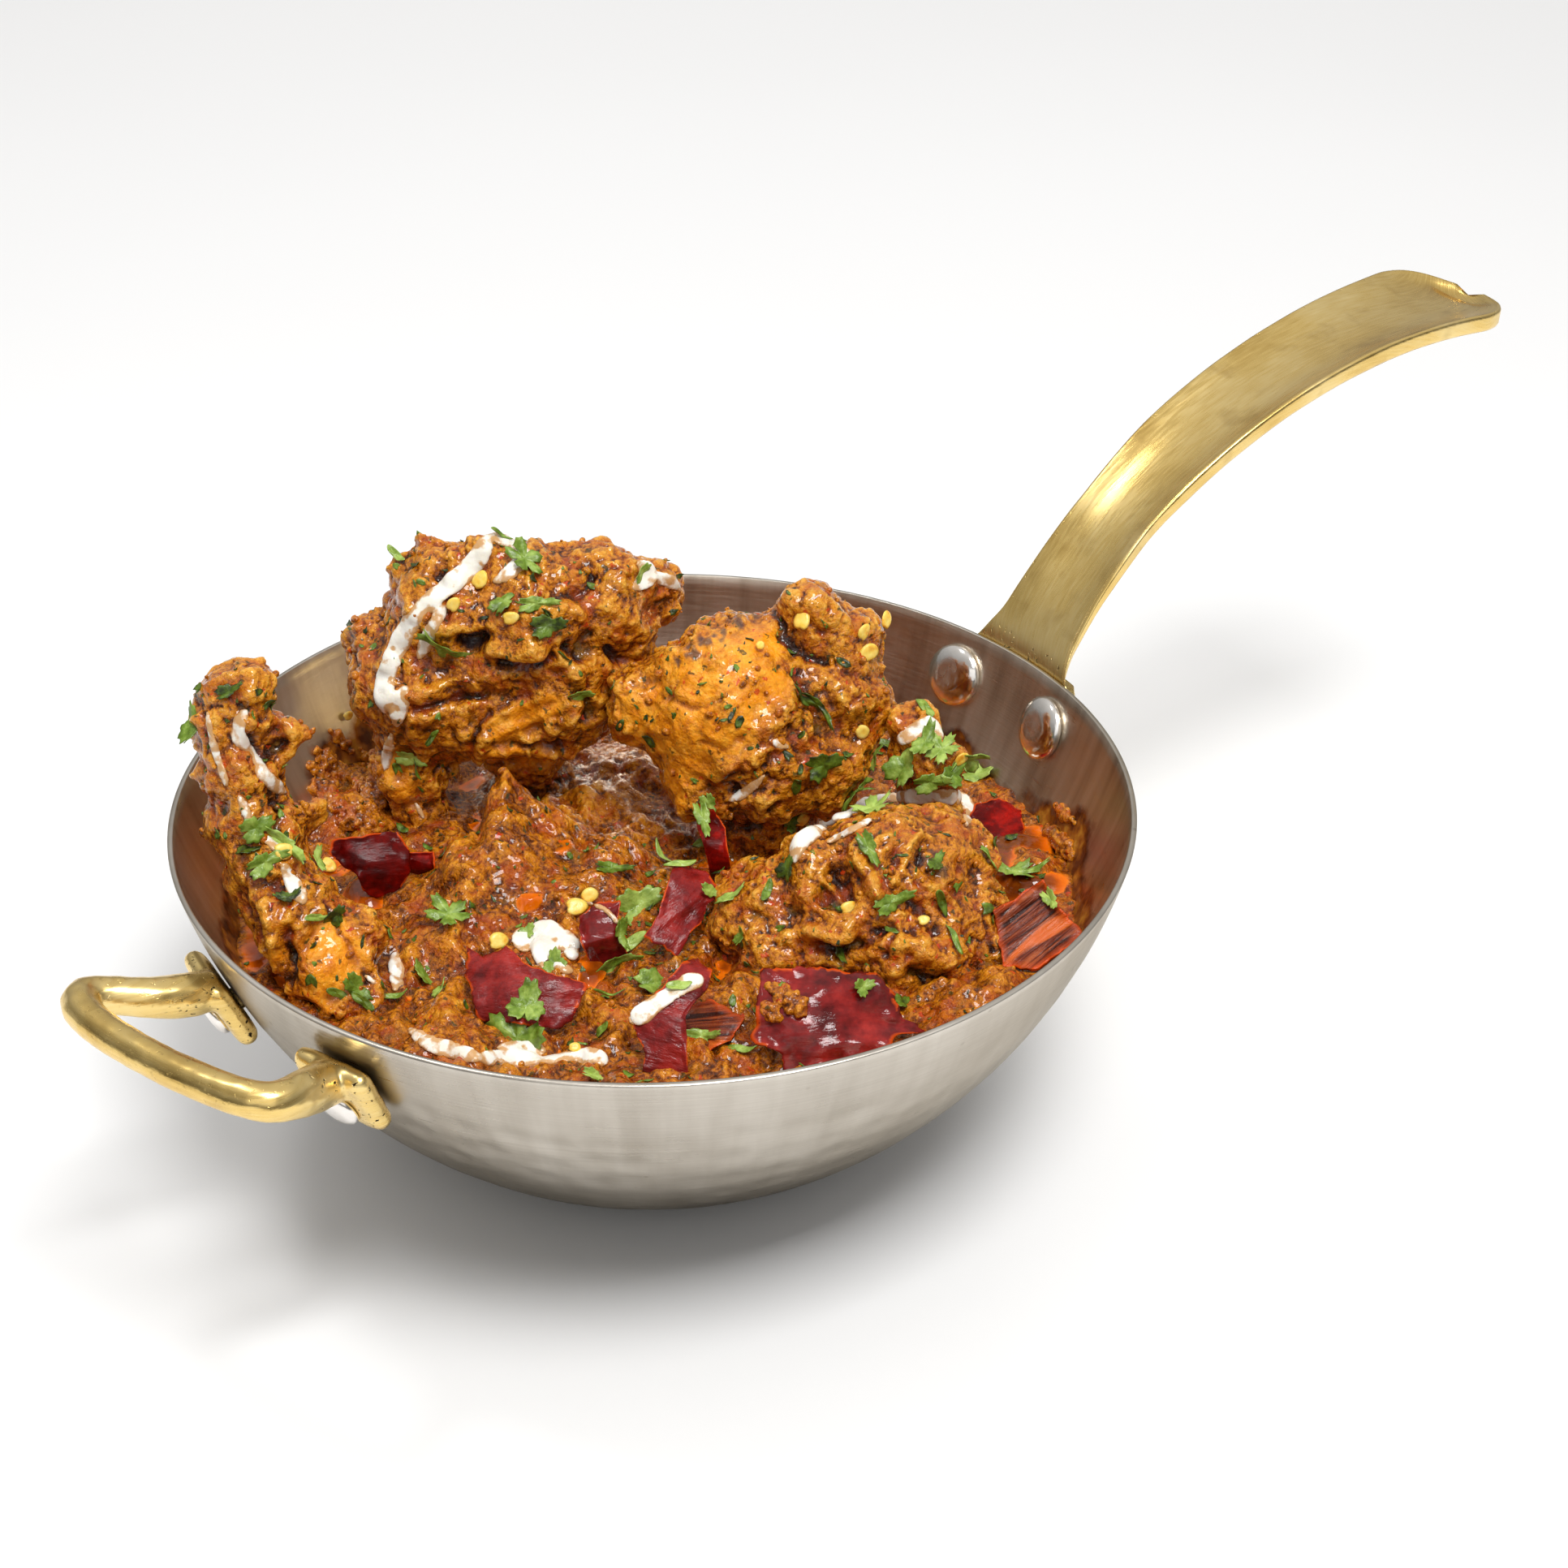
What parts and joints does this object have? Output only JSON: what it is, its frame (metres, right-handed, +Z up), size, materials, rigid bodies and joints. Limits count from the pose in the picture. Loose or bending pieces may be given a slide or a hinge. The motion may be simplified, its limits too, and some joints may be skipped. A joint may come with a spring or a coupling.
{
  "type": "chicken curry",
  "caption": "Chicken curry on the bone in thick masala gravy with dried chilli pieces, served in a round hammered steel pan with a long brass handle and a brass loop handle.",
  "frame": {"origin": "centre of the pan's flat base, on the surface it stands on", "axes": "+Z up; +X along the long handle, away from the pan; +Y to the left of the long handle seen from the pan"},
  "size_m": [0.3659, 0.2, 0.1349],
  "materials": {
    "pan_steel": "brushed and lightly hammered outside, brown-grey tarnished inside",
    "brass": "satin cast brass with brown patina and dark casting pits",
    "rivet_steel": "polished steel dome with a darker flat middle",
    "masala": "wet, coarse, oily brown-orange masala gravy",
    "chicken": "cooked chicken coated in sticky masala, with orange-brown skin",
    "dried_chilli": "glossy dark crimson dried chilli skin"
  },
  "bodies": {
    "root": {"pan": "pan_steel", "long_handle": "brass", "loop_handle": "brass", "handle_rivet_left": "rivet_steel", "handle_rivet_right": "rivet_steel", "loop_rivet_left": "rivet_steel", "loop_rivet_right": "rivet_steel", "gravy": "masala", "chicken_left": "chicken", "chicken_back": "chicken", "chicken_centre": "chicken", "chicken_right": "chicken", "chicken_small": "chicken", "chilli_left": "dried_chilli", "chilli_left_small": "dried_chilli", "chilli_front": "dried_chilli", "chilli_upright": "dried_chilli", "chilli_middle": "dried_chilli", "chilli_narrow": "dried_chilli", "chilli_folded": "dried_chilli", "chilli_striped": "dried_chilli", "chilli_glossy": "dried_chilli", "chilli_right": "dried_chilli", "chilli_oil": "dried_chilli"}
  },
  "joints": []
}
